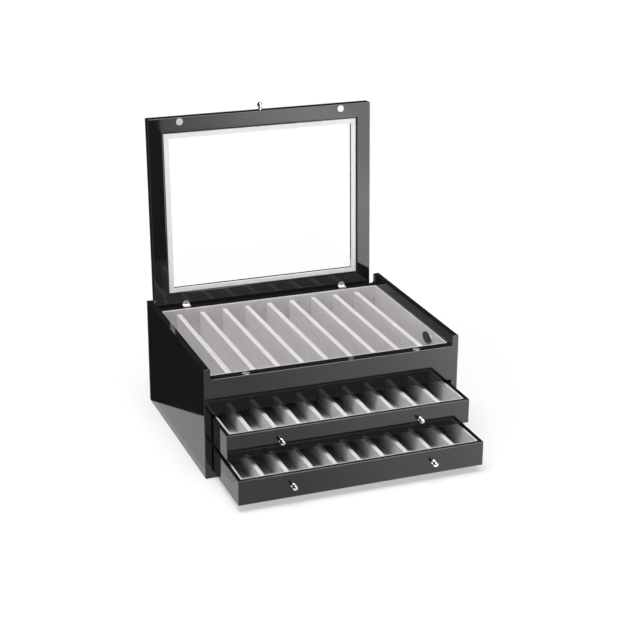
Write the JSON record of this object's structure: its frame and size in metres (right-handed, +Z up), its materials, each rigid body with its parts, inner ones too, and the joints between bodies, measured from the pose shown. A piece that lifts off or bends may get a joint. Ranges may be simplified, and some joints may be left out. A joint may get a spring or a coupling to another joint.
{
  "type": "pen collector chest",
  "caption": "Lacquered pen chest with a divided lined tray under a hinged, glazed lid and sliding drawers with divided linings, shown open.",
  "frame": {"origin": "centre of the case's footprint, on its flat underside (lid and drawers left out)", "axes": "+Z up, +Y to the rear where the lid is hinged, -Y to the front where the drawers pull out, +X to the right seen from the front"},
  "size_m": [0.28, 0.3276, 0.3294],
  "materials": {
    "black_lacquer": "black high-gloss lacquer over board",
    "suede_lining": "pale flocked suede over card and board",
    "clear_glass": "clear polished",
    "retainer_strip": "pale satin",
    "nickel": "bright nickel plate",
    "pale_brass": "polished",
    "chrome": "mirror chrome",
    "steel": "plain steel",
    "black_plastic": "gloss black"
  },
  "bodies": {
    "case": {"side_panel_left": "black_lacquer", "side_panel_right": "black_lacquer", "fascia": "black_lacquer", "rear_panel": "black_lacquer", "base_panel": "black_lacquer", "drawer_shelf": "black_lacquer", "tray_floor": "black_lacquer", "tray_floor_pad": "suede_lining", "tray_wall_left": "suede_lining", "tray_wall_right": "suede_lining", "tray_wall_front": "suede_lining", "tray_wall_rear": "suede_lining", "tray_dividers": "suede_lining", "strike_disc_left": "nickel", "strike_disc_right": "nickel", "wall_stud_cap": "black_plastic", "wall_stud_collar": "nickel", "hinge_case_leaf_left": "pale_brass", "hinge_case_leaf_right": "pale_brass", "hinge_pin_left": "pale_brass", "hinge_pin_right": "pale_brass", "hinge_case_screws": "pale_brass"},
    "lid": {"lid_rail_front": "black_lacquer", "lid_rail_rear": "black_lacquer", "lid_stile_left": "black_lacquer", "lid_stile_right": "black_lacquer", "lid_glass": "clear_glass", "lid_retainer_front": "retainer_strip", "lid_retainer_rear": "retainer_strip", "lid_retainer_left": "retainer_strip", "lid_retainer_right": "retainer_strip", "lid_magnet_left": "nickel", "lid_magnet_right": "nickel", "lid_knob": "chrome", "lid_knob_stud": "steel", "hinge_lid_leaf_left": "pale_brass", "hinge_lid_leaf_right": "pale_brass", "hinge_lid_screws": "pale_brass"},
    "upper_drawer": {"upper_drawer_front": "black_lacquer", "upper_drawer_side_left": "black_lacquer", "upper_drawer_side_right": "black_lacquer", "upper_drawer_back": "black_lacquer", "upper_drawer_bottom": "black_lacquer", "upper_drawer_floor_pad": "suede_lining", "upper_drawer_lining_walls": "suede_lining", "upper_drawer_dividers": "suede_lining", "upper_drawer_knob_left": "chrome", "upper_drawer_knob_right": "chrome", "upper_drawer_knob_screws": "steel"},
    "lower_drawer": {"lower_drawer_front": "black_lacquer", "lower_drawer_side_left": "black_lacquer", "lower_drawer_side_right": "black_lacquer", "lower_drawer_back": "black_lacquer", "lower_drawer_bottom": "black_lacquer", "lower_drawer_floor_pad": "suede_lining", "lower_drawer_lining_walls": "suede_lining", "lower_drawer_dividers": "suede_lining", "lower_drawer_knob_left": "chrome", "lower_drawer_knob_right": "chrome", "lower_drawer_knob_screws": "steel"}
  },
  "joints": [
    {"name": "lid_hinge", "type": "hinge", "parent": "case", "child": "lid", "pos_m": [0, 0.1077, 0.1065], "axis": [1, 0, 0], "range_deg": [0, 92.2]},
    {"name": "upper_drawer_slide", "type": "slide", "parent": "case", "child": "upper_drawer", "axis": [0, -1, 0], "range_m": [-0.0471, 0.1029]},
    {"name": "lower_drawer_slide", "type": "slide", "parent": "case", "child": "lower_drawer", "axis": [0, -1, 0], "range_m": [-0.0826, 0.0674]}
  ]
}
